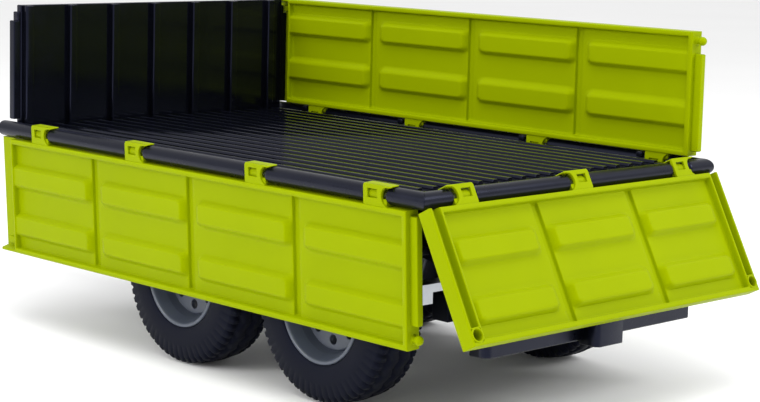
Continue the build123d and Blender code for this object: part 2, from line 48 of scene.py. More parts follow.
camera_at = (0.64341, -0.56742, 0.18953)
camera_yaw = math.radians(135.68)
camera_pitch = math.radians(-7.61)
camera_roll = math.radians(1.45)
forward = Vector((math.cos(camera_pitch) * math.cos(camera_yaw),
                  math.cos(camera_pitch) * math.sin(camera_yaw), math.sin(camera_pitch)))
level = forward.cross(Vector((0, 0, 1))).normalized()
overhead = level.cross(forward)
right_hand = math.cos(camera_roll) * level + math.sin(camera_roll) * overhead
top_side = math.cos(camera_roll) * overhead - math.sin(camera_roll) * level
lens = bpy.data.cameras.new("camera")
lens.sensor_width = 36
lens.lens = 94.1
lens.shift_x = 0.0015
lens.shift_y = -0.0475
lens.clip_start = 0.01
lens.clip_end = 20
camera = bpy.data.objects.new("camera", lens)
bpy.context.scene.collection.objects.link(camera)
camera.matrix_world = Matrix.Translation(camera_at) @ Matrix(
    (right_hand, top_side, -forward)).transposed().to_4x4()
bpy.context.scene.camera = camera
bpy.context.scene.view_settings.view_transform = "Standard"


def linear(code):
    """sRGB hex to linear RGBA."""
    channels = [int(code[k:k + 2], 16) / 255 for k in (1, 3, 5)]
    return [c / 12.92 if c <= 0.04045 else ((c + 0.055) / 1.055) ** 2.4 for c in channels] + [1]


def node(tree, kind, inputs=None, **settings):
    """Adds a shader node with its settings, and a value or a link for each input named."""
    made = tree.nodes.new("ShaderNode" + kind)
    for key, value in settings.items():
        setattr(made, key, value)
    for key, value in (inputs or {}).items():
        if isinstance(value, bpy.types.NodeSocket):
            tree.links.new(value, made.inputs[key])
        else:
            made.inputs[key].default_value = value
    return made


def new_material(name):
    material = bpy.data.materials.new(name)
    material.use_nodes = True
    material.node_tree.nodes.clear()
    return material


# Matt white card: a faint paper mottle keeps the floor from looking like empty space.
card = new_material("matt_white_card")
tree = card.node_tree
mottle = node(tree, "TexNoise", {"Scale": 60.0, "Detail": 3.0})
tone = node(tree, "Mix", {0: mottle.outputs["Fac"], 6: linear("#f7f7f7"), 7: linear("#fbfbfb")},
            data_type="RGBA")
paper = node(tree, "BsdfPrincipled", {"Base Color": tone.outputs[2], "Roughness": 0.9,
                                      "Specular IOR Level": 0.2})
node(tree, "OutputMaterial", {"Surface": paper.outputs[0]})

table_half = 6.0
table_mesh = bpy.data.meshes.new("table")
table_mesh.from_pydata([(-table_half, -table_half, 0), (table_half, -table_half, 0),
                        (table_half, table_half, 0), (-table_half, table_half, 0)],
                       [], [(0, 1, 2, 3)])
table_mesh.materials.append(card)
table = bpy.data.objects.new("table", table_mesh)
bpy.context.scene.collection.objects.link(table)

room = bpy.data.worlds.new("pale_room")
room.use_nodes = True
room.node_tree.nodes["Background"].inputs["Color"].default_value = linear("#ffffff")
room.node_tree.nodes["Background"].inputs["Strength"].default_value = 0.9
bpy.context.scene.world = room
lit_at = Vector((0.05, 0, 0.06))
for name, at, size, power in (("soft_box_over", (0.25, -0.25, 0.95), 0.7, 6.0),
                              ("soft_box_camera_side", (-0.25, -1.05, 0.5), 0.5, 5.5),
                              ("soft_box_rear", (1.0, 0.55, 0.75), 0.45, 7.0)):
    light = bpy.data.lights.new(name, "AREA")
    light.shape = "SQUARE"
    light.size = size
    light.energy = power
    lamp = bpy.data.objects.new(name, light)
    lamp.location = at
    lamp.rotation_euler = (lit_at - Vector(at)).to_track_quat("-Z", "Y").to_euler()
    bpy.context.scene.collection.objects.link(lamp)


# ---- Chassis: rails, cross members, bogie beams, drawbar and brackets ----
# Structural mouldings in black ABS with a fine spark-eroded texture, screwed together from
# below. The edges carry the small radius of the mould, so they catch a thin line of light.

mm = 0.001


def moulded_plastic(name, light, dark, roughness, gloss_drift, grain_mm, grain_depth_mm,
                    specular=0.5, cast="#ffffff"):
    """Injection-moulded ABS: flow marks a few centimetres long in the colour, patches of
    higher and lower gloss, and the grain that the mould's own surface leaves."""
    material = new_material(name)
    tree = material.node_tree
    place = node(tree, "TexCoord").outputs["Object"]
    flow = node(tree, "TexNoise", {"Vector": place, "Scale": 1 / (35 * mm), "Detail": 3.0,
                                   "Distortion": 0.6})
    colour = node(tree, "Mix", {0: flow.outputs["Fac"], 6: linear(dark), 7: linear(light)},
                  data_type="RGBA")
    patches = node(tree, "TexNoise", {"Vector": place, "Scale": 1 / (9 * mm), "Detail": 4.0})
    gloss = node(tree, "MapRange", {"Value": patches.outputs["Fac"], "From Min": 0.3,
                                    "From Max": 0.7, "To Min": roughness - gloss_drift,
                                    "To Max": roughness + gloss_drift})
    grain = node(tree, "TexNoise", {"Vector": place, "Scale": 1 / (grain_mm * mm),
                                    "Detail": 2.0})
    relief = node(tree, "Bump", {"Height": grain.outputs["Fac"], "Strength": 0.35,
                                 "Distance": grain_depth_mm * mm})
    shader = node(tree, "BsdfPrincipled",
                  {"Base Color": colour.outputs[2], "Roughness": gloss.outputs[0],
                   "Normal": relief.outputs[0], "IOR": 1.53, "Specular IOR Level": specular,
                   "Specular Tint": linear(cast)})
    node(tree, "OutputMaterial", {"Surface": shader.outputs[0]})
    return material


# Black ABS off a textured mould: a soft grey sheen and no clear reflection.
textured_black = moulded_plastic("textured_black_abs", "#08090e", "#05060a", 0.42, 0.06,
                                 0.6, 0.03, specular=0.2, cast="#a8b0e0")


def finish_cad(name, material, edge_mm=0.35):
    """Gives a frame part its finish and the mould's edge radius, without touching its mesh."""
    part = nodes[name]
    part.data.materials.clear()
    part.data.materials.append(material)
    for polygon in part.data.polygons:
        polygon.use_smooth = True
    weld = part.modifiers.new("weld", "WELD")
    weld.merge_threshold = 0.002 * mm
    edge = part.modifiers.new("mould_edge", "BEVEL")
    edge.width = edge_mm * mm
    edge.segments = 3
    edge.limit_method = "ANGLE"
    edge.angle_limit = math.radians(35)
    edge.use_clamp_overlap = True
    part.modifiers.new("even_light", "WEIGHTED_NORMAL")


for name in ("chassis_rail_left", "chassis_rail_right", "cross_members", "front_cross_member",
             "bed_rests", "bogie_hangers", "rear_cross_member", "bumper_brackets", "drawbar",
             "drawbar_braces", "ram_brackets", "spacer_sleeves", "bogie_beam_left",
             "bogie_beam_right", "stand_foot", "bed_bearers", "bed_sill_left",
             "bed_sill_right", "ram_cup", "headboard_posts"):
    finish_cad(name, textured_black)

# ---- Pins, axles, ram and towing eye ----
# Turned mild steel, zinc plated bright. The lathe leaves fine rings round the axis.

# Zinc-plated steel: pale blue-grey metal with tight turning marks and cloudy plating.
zinc = new_material("zinc_plated_steel")
tree = zinc.node_tree
place = node(tree, "TexCoord").outputs["Object"]
clouds = node(tree, "TexNoise", {"Vector": place, "Scale": 1 / (6 * mm), "Detail": 4.0})
plating = node(tree, "Mix", {0: clouds.outputs["Fac"], 6: linear("#9da3aa"), 7: linear("#c9ccce")},
               data_type="RGBA")
haze = node(tree, "MapRange", {"Value": clouds.outputs["Fac"], "To Min": 0.2, "To Max": 0.42})
turning = node(tree, "TexWave", {"Vector": place, "Scale": 1 / (1.6 * mm), "Distortion": 0.4},
               bands_direction="Y")
rings = node(tree, "Bump", {"Height": turning.outputs["Fac"], "Strength": 0.12,
                            "Distance": 0.01 * mm})
shader = node(tree, "BsdfPrincipled", {"Base Color": plating.outputs[2], "Metallic": 1.0,
                                       "Roughness": haze.outputs[0], "Normal": rings.outputs[0]})
node(tree, "OutputMaterial", {"Surface": shader.outputs[0]})

for name in ("bogie_pin", "tipping_shaft", "ram_pin", "stand_pin", "front_axle", "rear_axle",
             "axle_nuts", "towing_eye", "ram_barrel", "ram_stage_1", "ram_stage_2", "ram_rod",
             "stand_leg", "headboard_bolts", "left_hinge_rod", "right_hinge_rod",
             "rear_hinge_rod"):
    finish_cad(name, zinc, edge_mm=0.2)


# ---- Tyres ----
# Four block-tread farm tyres in soft black PVC rubber, moulded hollow and stretched over
# the rims. Three zigzag grooves run round the tread, and the shoulders are notched.

tyre_r = 36.2
tyre_w = 22.0
bead_r = 20.6
blocks = 60                       # shoulder blocks round one tyre
steps_per_block = 6
groove_depth = 1.3
zigzag = 0.8                      # sideways swing of a groove, and one swing per block pair


def new_piece(name, points, faces, material, body, slot=None, smooth=True, at=None):
    """A mesh piece from points in millimetres, that rides on a body of the frame."""
    mesh = bpy.data.meshes.new(name)
    mesh.from_pydata([tuple(c * mm for c in p) for p in points], [], faces)
    mesh.validate()
    mesh.update()
    for polygon in mesh.polygons:
        polygon.use_smooth = smooth
    mesh.materials.append(material)
    piece = bpy.data.objects.new(name, mesh)
    bpy.context.scene.collection.objects.link(piece)
    if at is not None:
        piece.matrix_world = at
    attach(piece, body)
    return piece


def grid_faces(rows, columns, wrap_rows=False, flip=False):
    faces = []
    for i in range(rows if wrap_rows else rows - 1):
        for j in range(columns - 1):
            a = i * columns + j
            b = (i + 1) % rows * columns + j
            faces.append((a, b, b + 1, a + 1) if flip else (a, a + 1, b + 1, b))
    return faces


def rubber():
    material = new_material("moulded_rubber")
    tree = material.node_tree
    place = node(tree, "TexCoord").outputs["Object"]
    bloom = node(tree, "TexNoise", {"Vector": place, "Scale": 1 / (14 * mm), "Detail": 5.0,
                                    "Roughness": 0.6})
    colour = node(tree, "Mix", {0: bloom.outputs["Fac"], 6: linear("#06070c"),
                                7: linear("#0b0d14")}, data_type="RGBA")
    dull = node(tree, "MapRange", {"Value": bloom.outputs["Fac"], "To Min": 0.5, "To Max": 0.72})
    skin = node(tree, "TexNoise", {"Vector": place, "Scale": 1 / (0.8 * mm), "Detail": 3.0})
    relief = node(tree, "Bump", {"Height": skin.outputs["Fac"], "Strength": 0.5,
                                 "Distance": 0.06 * mm})
    shader = node(tree, "BsdfPrincipled",
                  {"Base Color": colour.outputs[2], "Roughness": dull.outputs[0],
                   "Normal": relief.outputs[0], "IOR": 1.5, "Specular IOR Level": 0.2,
                   "Specular Tint": linear("#a0a8e0")})
    node(tree, "OutputMaterial", {"Surface": shader.outputs[0]})
    return material


# Soft PVC rubber: blue-black, dull, with a faint bloom and a slightly rough skin.
tyre_rubber = rubber()

# One half of the tyre's section from the bead to the crown: (across, radius, kind).
half = tyre_w / 2
side_profile = [(half - 2.6, bead_r - 0.8), (half - 1.5, bead_r), (half - 0.7, bead_r + 0.5),
                (half - 0.35, bead_r + 1.4), (half - 0.1, bead_r + 3.0), (half, bead_r + 5.2),
                (half, bead_r + 7.2), (half - 0.25, bead_r + 8.6), (half - 0.7, tyre_r - 3.2),
                (half - 1.0, tyre_r - 2.5), (half - 1.5, tyre_r - 1.5), (half - 2.2, tyre_r - 0.8)]
tread_lines = [6.9, 6.5, 5.6, 5.2, 3.4, 1.2, 0.45, -0.45, -1.2, -3.4, -5.2, -5.6, -6.5, -6.9]
groove_floor = {5.6: 1, 6.5: 1, 0.45: 1, -0.45: 1, -5.6: 1, -6.5: 1}
section = ([(y, r, "side") for y, r in side_profile] +
           [(y, tyre_r - 0.012 * y * y, "tread") for y in tread_lines] +
           [(-y, r, "side") for y, r in reversed(side_profile)])
tyre_points = []
turns = blocks * steps_per_block
for i in range(turns):
    step = i % steps_per_block
    in_notch = step >= steps_per_block - 2
    swing = abs((i / (2 * steps_per_block)) % 1 * 4 - 2) - 1
    angle = 2 * math.pi * i / turns
    for y, r, kind in section:
        if kind == "tread":
            if y in groove_floor:
                r -= groove_depth
            elif abs(y) > 6.6 and in_notch:
                r -= 0.9
            y += zigzag * swing * (1 if abs(y) < 6.0 else 0.6)
        elif in_notch and r > tyre_r - 3.4:
            r -= 0.9 if r > tyre_r - 2.0 else 0.45
            y -= math.copysign(0.25, y)
        tyre_points.append((r * math.sin(angle), y, r * math.cos(angle)))
tyre_faces = grid_faces(turns, len(section), wrap_rows=True)

wheel_places = {}
for end in ("front", "rear"):
    for side in ("left", "right"):
        low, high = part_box(f"{end}_{side}_tyre")
        centre = (low + high) / 2
        half_turn = Matrix.Rotation(math.pi if side == "left" else 0, 4, "Z")
        wheel_places[end, side] = Matrix.Translation(centre) @ half_turn
        tyre = new_piece(f"{end}_{side}_tyre_tread", tyre_points, tyre_faces, tyre_rubber,
                         f"{end}_{side}_wheel", "tyre", at=wheel_places[end, side])
        tyre.modifiers.new("even_light", "WEIGHTED_NORMAL")
        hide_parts(f"{end}_{side}_tyre")


# ---- Rims ----
# Two-part ABS wheels pressed together: a deep outer ring with a rolled lip, and a dished
# disc with eight round holes, a ring of nuts and a hub cap, in silver-grey plastic.

# Silver-grey ABS with a little aluminium pigment: soft satin, a cool cast.
grey_abs = moulded_plastic("silver_grey_abs", "#4d5361", "#434956", 0.36, 0.06, 0.7, 0.02)


def turned(profile, segments=72):
    """Points and faces of a lathe shape round Y from (along, radius) pairs."""
    points = []
    for i in range(segments):
        angle = 2 * math.pi * i / segments
        for along, radius in profile:
            points.append((radius * math.sin(angle), along, radius * math.cos(angle)))
    return points, grid_faces(segments, len(profile), wrap_rows=True)


def cut_plate(outline, holes, thickness, edge):
    """Points and faces of a flat plate with holes and rounded edges, drawn in X and Y and as
    thick as stated in Z, all in millimetres."""
    curve = bpy.data.curves.new("plate", "CURVE")
    curve.dimensions = "2D"
    curve.fill_mode = "BOTH"
    curve.extrude = thickness / 2 - edge
    curve.bevel_depth = edge
    curve.bevel_resolution = 2
    curve.offset = -edge
    for ring in [outline] + holes:
        spline = curve.splines.new("POLY")
        spline.points.add(len(ring) - 1)
        for point, (x, y) in zip(spline.points, ring):
            point.co = (x, y, 0, 1)
        spline.use_cyclic_u = True
    shape = bpy.data.objects.new("plate", curve)
    bpy.context.scene.collection.objects.link(shape)
    bpy.context.view_layer.update()
    mesh = bpy.data.meshes.new_from_object(shape.evaluated_get(
        bpy.context.evaluated_depsgraph_get()))
    points = [tuple(v.co) for v in mesh.vertices]
    faces = [tuple(p.vertices) for p in mesh.polygons]
    bpy.data.objects.remove(shape)
    bpy.data.curves.remove(curve)
    bpy.data.meshes.remove(mesh)
    return points, faces


def joined(shapes):
    """One list of points and faces from several."""
    points, faces = [], []
    for more_points, more_faces in shapes:
        start = len(points)
        points += more_points
        faces += [tuple(start + k for k in face) for face in more_faces]
    return points, faces


def moved(shape, matrix):
    """The shape carried by a matrix, turned inside out again if the matrix mirrors it."""
    points, faces = shape
    if matrix.determinant() < 0:
        faces = [tuple(reversed(face)) for face in faces]
    return [tuple(matrix @ Vector(p)) for p in points], faces


def circle(x, y, radius, count=28):
    return [(x + radius * math.cos(2 * math.pi * k / count),
             y + radius * math.sin(2 * math.pi * k / count)) for k in range(count)]


rim_r = 20.5
disc_r = 16.2
disc_out = half - 8.0             # outer face of the disc, from the wheel's middle
hole_ring = 12.3
hole_r = 1.9
nut_ring = 7.6
nut_count = 8
barrel = turned([(half - 5.4, rim_r - 3.0), (half - 2.4, rim_r - 1.9), (half - 1.2, rim_r - 1.5),
                 (half - 0.55, rim_r - 1.0), (half - 0.35, rim_r - 0.35), (half - 0.6, rim_r + 0.2),
                 (half - 1.3, rim_r + 0.3), (half - 2.2, rim_r), (-half + 2.2, rim_r),
                 (-half + 1.3, rim_r + 0.3), (-half + 0.6, rim_r), (-half + 0.6, rim_r - 0.8),
                 (-half + 2.4, rim_r - 1.8), (disc_out - 3.0, rim_r - 3.2),
                 (disc_out - 1.2, disc_r + 0.3), (disc_out, disc_r - 0.5),
                 (disc_out - 0.6, disc_r - 0.9), (disc_out - 3.8, rim_r - 4.4),
                 (half - 7.8, rim_r - 3.4), (half - 5.4, rim_r - 3.0)], 96)
holes = [circle(hole_ring * math.cos(math.radians(45 * k)),
                hole_ring * math.sin(math.radians(45 * k)), hole_r, 20) for k in range(8)]
disc = moved(cut_plate(circle(0, 0, disc_r, 96), holes, 2.0, 0.3),
             Matrix.Translation((0, disc_out - 1.2, 0)) @ Matrix.Rotation(math.pi / 2, 4, "X"))
hub = turned([(disc_out - 6, 5.6), (disc_out - 0.4, 5.6), (disc_out - 0.1, 9.6),
              (disc_out + 0.45, 9.3), (disc_out + 0.6, 8.9), (disc_out + 0.6, 5.9),
              (disc_out + 1.6, 5.6), (disc_out + 3.2, 5.2), (disc_out + 3.7, 4.7),
              (disc_out + 3.8, 3.0), (disc_out + 3.4, 2.6), (disc_out - 1.0, 2.56)], 64)
nut_hex = cut_plate(circle(0, 0, 1.35, 6), [], 1.9, 0.2)
nuts = []
for k in range(nut_count):
    angle = math.radians(360 * (k + 0.5) / nut_count)
    nuts.append(moved(nut_hex, Matrix.Translation(
        (nut_ring * math.sin(angle), disc_out + 1.2, nut_ring * math.cos(angle)))
        @ Matrix.Rotation(math.pi / 2, 4, "X")))
    stud = turned([(disc_out + 1.9, 0.62), (disc_out + 2.75, 0.62), (disc_out + 2.9, 0.45),
                   (disc_out + 2.9, 0.01)], 12)
    nuts.append(moved(stud, Matrix.Translation(
        (nut_ring * math.sin(angle), 0, nut_ring * math.cos(angle)))))
rim_shape = joined([barrel, disc, hub])
nut_shape = joined(nuts)
for (end, side), place in wheel_places.items():
    rim = new_piece(f"{end}_{side}_rim_dish", *rim_shape, grey_abs, f"{end}_{side}_wheel",
                    "grey_rim", at=place)
    ring = new_piece(f"{end}_{side}_wheel_nuts", *nut_shape, grey_abs, f"{end}_{side}_wheel",
                     "grey_rim", at=place)
    for piece in (rim, ring):
        piece.modifiers.new("even_light", "WEIGHTED_NORMAL")
    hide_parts(f"{end}_{side}_rim")
    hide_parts(f"{end}_{side}_nuts")


# ---- Load bed floor ----
# One gloss-black ABS moulding, a flat plate with eighteen low ribs run lengthwise, which
# stop short of the tailgate. It is polished in the mould, so it mirrors the green sides.

# Black ABS off a polished mould: blue-black and clearly glossy.
gloss_black = moulded_plastic("gloss_black_abs", "#08090f", "#05060b", 0.14, 0.04, 1.4, 0.006,
                              specular=0.32, cast="#b4bcf0")

bed_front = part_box("left_hinge_rail")[0].x / mm      # x where the side walls start
hinge_half = 80.0
hinge_z = 86.2
rear_rod_x = 258.9
floor_top = 86.8
floor_under = 83.2
floor_half = 74.0
floor_start = 2.5
floor_end = 253.1
rib_count = 18
rib_pitch = 7.95
rib_foot = 2.9
rib_crown = 2.1
rib_high = 1.3
rib_start = 9.9
rib_end = floor_end - 8.5
bed_place = Matrix.Translation((bed_front, 0, 0))


def bar(length_from, length_to, section, edge=0.3):
    """A bar along X with the section (y, z) given anticlockwise, its ends drawn in by edge."""
    count = len(section)
    cy = sum(p[0] for p in section) / count
    cz = sum(p[1] for p in section) / count
    points = []
    for x, inset in ((length_from, edge), (length_from + edge, 0),
                     (length_to - edge, 0), (length_to, edge)):
        for y, z in section:
            points.append((x, y - math.copysign(min(inset, abs(y - cy)), y - cy),
                           z - math.copysign(min(inset, abs(z - cz)), z - cz)))
    faces = [tuple(range(count - 1, -1, -1)), tuple(3 * count + k for k in range(count))]
    for i in range(3):
        for k in range(count):
            n = (k + 1) % count
            faces.append((i * count + k, i * count + n, (i + 1) * count + n, (i + 1) * count + k))
    return points, faces


def rounded_section(y0, y1, z0, z1, radius, steps=3):
    """A rectangle in Y and Z with rounded corners, anticlockwise."""
    ring = []
    for cy, cz, start in ((y1 - radius, z1 - radius, 0), (y0 + radius, z1 - radius, 90),
                          (y0 + radius, z0 + radius, 180), (y1 - radius, z0 + radius, 270)):
        for k in range(steps + 1):
            angle = math.radians(start + 90 * k / steps)
            ring.append((cy + radius * math.cos(angle), cz + radius * math.sin(angle)))
    return ring


ribs = []
for k in range(rib_count):
    y = (k - (rib_count - 1) / 2) * rib_pitch
    crown = floor_top + rib_high
    ribs.append(bar(rib_start, rib_end, [
        (y + rib_foot / 2, floor_top - 0.2), (y + rib_foot / 2, floor_top + 0.1),
        (y + rib_crown / 2 + 0.25, crown - 0.3), (y + rib_crown / 2, crown - 0.06),
        (y + rib_crown / 2 - 0.25, crown), (y - rib_crown / 2 + 0.25, crown),
        (y - rib_crown / 2, crown - 0.06), (y - rib_crown / 2 - 0.25, crown - 0.3),
        (y - rib_foot / 2, floor_top + 0.1), (y - rib_foot / 2, floor_top - 0.2)], 0.2))
floor_plate = bar(floor_start, floor_end,
                  rounded_section(-floor_half, floor_half, floor_under, floor_top, 0.3))
load_floor = new_piece("load_floor", *moved(joined([floor_plate] + ribs), bed_place),
                       gloss_black, "bed", "gloss_black")
load_floor.modifiers.new("even_light", "WEIGHTED_NORMAL")
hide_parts("bed_floor")


# ---- Headboard ----
# A gloss-black ABS panel with seven upright ribs on the load side, a rolled top edge and an
# edge strip at each end that the side walls close against. Bolted to two posts in front.

head_half = 75.6
head_from = 3.0
head_thick = 3.3
head_top = hinge_z + 53.9
head_rib_count = 7
head_rib_first = -70.4
head_rib_pitch = 23.2
head_rib_w = 4.0
head_rib_proud = 2.6
strip_t = 3.5
strip_over = 1.0                  # how far an end strip overlaps the board
strip_steps = ((3.4, 4.1, 47.2), (1.5, 47.0, 51.0))   # reach, then low and high ends


def upright(x0, x1, y0, y1, z0, z1, radius, edge=0.3):
    """An upright bar with a rounded section in X and Y."""
    lying = bar(z0, z1, rounded_section(y0, y1, -x1, -x0, radius), edge)
    return moved(lying, Matrix(((0, 0, -1, 0), (0, 1, 0, 0), (1, 0, 0, 0), (0, 0, 0, 1))))


head_pieces = [upright(head_from, head_from + head_thick, -head_half, head_half,
                       floor_top, head_top, 0.5)]
for k in range(head_rib_count):
    edge = head_rib_first + k * head_rib_pitch
    head_pieces.append(upright(head_from + 0.5, head_from + head_thick + head_rib_proud,
                               edge - head_rib_w, edge, floor_top, head_top - 0.2, 0.7))
for side in (-1, 1):
    inner = side * (head_half - strip_over)
    for reach, low, high in strip_steps:
        outer = side * (head_half + reach)
        head_pieces.append(upright(floor_start, floor_start + strip_t, min(outer, inner),
                                   max(outer, inner), hinge_z + low, hinge_z + high, 0.4))
headboard = new_piece("headboard_panel", *moved(joined(head_pieces), bed_place), gloss_black,
                      "bed", "gloss_black")
headboard.modifiers.new("even_light", "WEIGHTED_NORMAL")
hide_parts("headboard")


# ---- Hinge rails ----
# Gloss-black ABS tubes moulded along the edges of the bed, broken where the hooks of the
# walls sit. Each length starts in a dome under a hook's tongue and ends square at the next.

# Satin blue-black ABS: a soft highlight runs the length of each tube.
tube_black = moulded_plastic("satin_blue_black_abs", "#07080f", "#05060b", 0.3, 0.05, 0.9, 0.012,
                             specular=0.3, cast="#a8b0e0")

tube_r = 3.3
hook_w = 11.7
hook_gap = 0.4
dome = 2.2                        # how far a dome reaches under the tongue
web_from = 75.2                   # the web is cut back to here at each hook
web_thick = 3.2
bump_up = 2.3                     # a bump beside each hook, up from the rod and along it
bump_along = 2.4
side_bump_in = 3.4
rear_bump_in = 3.0
bed_len = 253.7
side_hooks = (26.0, 92.0, 166.9, 231.9)
gate_hooks = (-62.8, 0.0, 62.8)


def tube_run(start, end, start_kind, end_kind, outwards=0):
    """A length of tube round X at y = z = 0. Kinds: dome, square or mitre; a mitre leans
    away from the bed, towards +Y or -Y as outwards says."""
    def end_rings(at, kind, way):
        if kind == "dome":
            return [(at + way * hook_gap - way * (dome + hook_gap)
                     * math.sqrt(max(0.0, 1 - (r / tube_r) ** 2)), r, 0)
                    for r in (0.01, 1.0, 1.8, 2.4, 2.8, 3.08, 3.24, tube_r)]
        if kind == "square":
            return [(at, 0.01, 0), (at, tube_r - 0.6, 0), (at + way * 0.08, tube_r - 0.25, 0),
                    (at + way * 0.3, tube_r - 0.05, 0), (at + way * 0.6, tube_r, 0)]
        return [(at, 0.01, 1), (at, tube_r - 0.12, 1), (at + way * 0.25, tube_r, 1)]
    rings = end_rings(start, start_kind, 1) + end_rings(end, end_kind, -1)[::-1]
    segments = 48
    points = []
    for i in range(segments):
        angle = 2 * math.pi * i / segments
        for x, r, lean in rings:
            y, z = r * math.cos(angle), r * math.sin(angle)
            points.append((x + lean * outwards * y, y, z))
    return points, grid_faces(segments, len(rings), wrap_rows=True)


def bump(x, y, z):
    return bar(x - 1.6, x + 1.6, [(y + py, z + pz) for py, pz in
                                  rounded_section(-1.1, 1.1, -1.2, 0.9, 0.5)], 0.4)


for name, side in (("left", -1), ("right", 1)):
    runs = []
    starts = [0.0] + [h + hook_w for h in side_hooks]
    ends = [h - hook_gap for h in side_hooks] + [rear_rod_x]
    for k, (start, end) in enumerate(zip(starts, ends)):
        run = tube_run(start, end, "square" if k == 0 else "dome",
                       "mitre" if k == len(ends) - 1 else "square", outwards=side)
        runs.append(moved(run, Matrix.Translation((0, side * hinge_half, hinge_z))))
    bumps = [bump(h - bump_along, side * (hinge_half - side_bump_in), hinge_z + bump_up)
             for h in side_hooks]
    web_outline = [(0, floor_half - 0.2), (bed_len, floor_half - 0.2), (bed_len, hinge_half)]
    for h in reversed(side_hooks):
        web_outline += [(h + hook_w + hook_gap, hinge_half), (h + hook_w + hook_gap, web_from),
                        (h - hook_gap, web_from), (h - hook_gap, hinge_half)]
    web_outline.append((0, hinge_half))
    web = cut_plate([(x, side * y) for x, y in web_outline], [], web_thick, 0.15)
    web = moved(web, Matrix.Translation((0, 0, floor_under + web_thick / 2)))
    rail = new_piece(f"{name}_hinge_tube", *moved(joined(runs + [web] + bumps), bed_place),
                     tube_black, "bed", "gloss_black")
    rail.modifiers.new("even_light", "WEIGHTED_NORMAL")
    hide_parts(f"{name}_hinge_rail")

# The rear rail: the same tube across the bed, mitred into the side tubes at both corners.
across = Matrix.Translation((rear_rod_x, 0, hinge_z)) @ Matrix.Rotation(math.pi / 2, 4, "Z")
runs = []
for start, end, start_kind, end_kind in (
        (-hinge_half, gate_hooks[0] - hook_w / 2, "mitre", "dome"),
        (gate_hooks[0] + hook_w / 2 + hook_gap, gate_hooks[1] - hook_w / 2, "square", "dome"),
        (gate_hooks[1] + hook_w / 2 + hook_gap, gate_hooks[2] - hook_w / 2 - hook_gap,
         "square", "square"),
        (gate_hooks[2] + hook_w / 2, hinge_half, "dome", "mitre")):
    run = tube_run(start, end, start_kind, end_kind, outwards=-1 if end_kind == "mitre" else 1)
    runs.append(moved(run, across))
bumps = [moved(bump(0, 0, 0), across @ Matrix.Translation(
    (h + way * (hook_w / 2 + bump_along), rear_bump_in, bump_up)))
         for h, way in ((gate_hooks[0], 1), (gate_hooks[1], 1), (gate_hooks[2], -1))]
web_outline = [(floor_end - 0.2, -floor_half), (floor_end - 0.2, floor_half),
               (rear_rod_x, floor_half)]
for h in reversed(gate_hooks):
    out = hook_w / 2 + hook_gap
    web_outline += [(rear_rod_x, h + out), (floor_end + 1.2, h + out),
                    (floor_end + 1.2, h - out), (rear_rod_x, h - out)]
web_outline.append((rear_rod_x, -floor_half))
web = moved(cut_plate(web_outline, [], web_thick, 0.15),
            Matrix.Translation((0, 0, floor_under + web_thick / 2)))
rail = new_piece("rear_hinge_tube", *moved(joined(runs + [web] + bumps), bed_place), tube_black,
                 "bed", "gloss_black")
rail.modifiers.new("even_light", "WEIGHTED_NORMAL")
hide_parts("rear_hinge_rail", "rail_corners")


# ---- Side walls and tailgate ----
# Lime-green ABS mouldings on hooks that clip over the hinge rods: a lip all round, panels
# between recessed posts, and two soft pillow ribs pressed into each panel for stiffness.

# Lime ABS off a satin mould: strong yellow-green with a broad soft sheen.
lime = moulded_plastic("lime_green_abs", "#8c9c00", "#849400", 0.44, 0.05, 0.8, 0.012,
                       specular=0.05, cast="#d8ec10")

wall_h = 54.1
wall_t = 6.5
wall_in = 4.0
wall_foot = 3.8
lip = 2.2
recess = 4.0
field = 2.6
pillow = 0.5
skin = 1.6
divider_w = 3.6
rim_round = 0.5
pillow_bands = ((0.28, 0.47), (0.68, 0.865))   # shares of the wall's height
pillow_start_gap = 3.5            # from a field's edges to the ends of its pillows
pillow_end_gap = 0.5
pillow_past = 9.0                 # at the ends of a side wall, past the field's edge instead
ramp = 0.5                        # width of a step's slope
slot_lip = 1.6                    # metal left past an open slot, at the free edge
no_stop = 99.0
nub_share = 0.36                  # of the slot's depth
socket_low, socket_high = 48.1, 52.5
socket_depth = 5.2
socket_room = 0.4                 # wider than the slot, each way
back_ramp = 0.8
back_post_half = 2.4
back_post_share = 0.85            # of the hollow at the back, filled by a post


def ease(t):
    t = min(max(t, 0.0), 1.0)
    return t * t * (3 - 2 * t)


def between(value, low, high, soft):
    """1 between low and high, and 0 outside, with a ramp of the given width on each edge."""
    return ease((value - low) / soft + 0.5) * ease((high - value) / soft + 0.5)


def pillow_height(x, z, left, right, low, high, corner=2.8, slope=0.95):
    """1 on a pillow rib's crown, falling to 0 at its rounded outline."""
    dx = abs(x - (left + right) / 2) - ((right - left) / 2 - corner)
    dz = abs(z - (low + high) / 2) - ((high - low) / 2 - corner)
    outside = math.hypot(max(dx, 0), max(dz, 0)) + min(max(dx, dz), 0) - corner
    return ease(-outside / slope)


def grid_lines(start, end, step, features, soft):
    """Lines from start to end no further apart than step, crowded round each feature."""
    lines = {start, end}
    for inset in (0.07, 0.2, rim_round):
        lines |= {start + inset, end - inset}
    for at in features:
        lines |= {at - soft / 2, at - soft / 5, at + soft / 5, at + soft / 2}
    lines = sorted(v for v in lines if start <= v <= end)
    full = [lines[0]]
    for v in lines[1:]:
        gap = v - full[-1]
        if gap < 0.03:
            continue
        extra = int(gap / step)
        full += [full[-1] + gap * (k + 1) / (extra + 1) for k in range(extra)]
        full.append(v)
    full[-1] = end
    return full


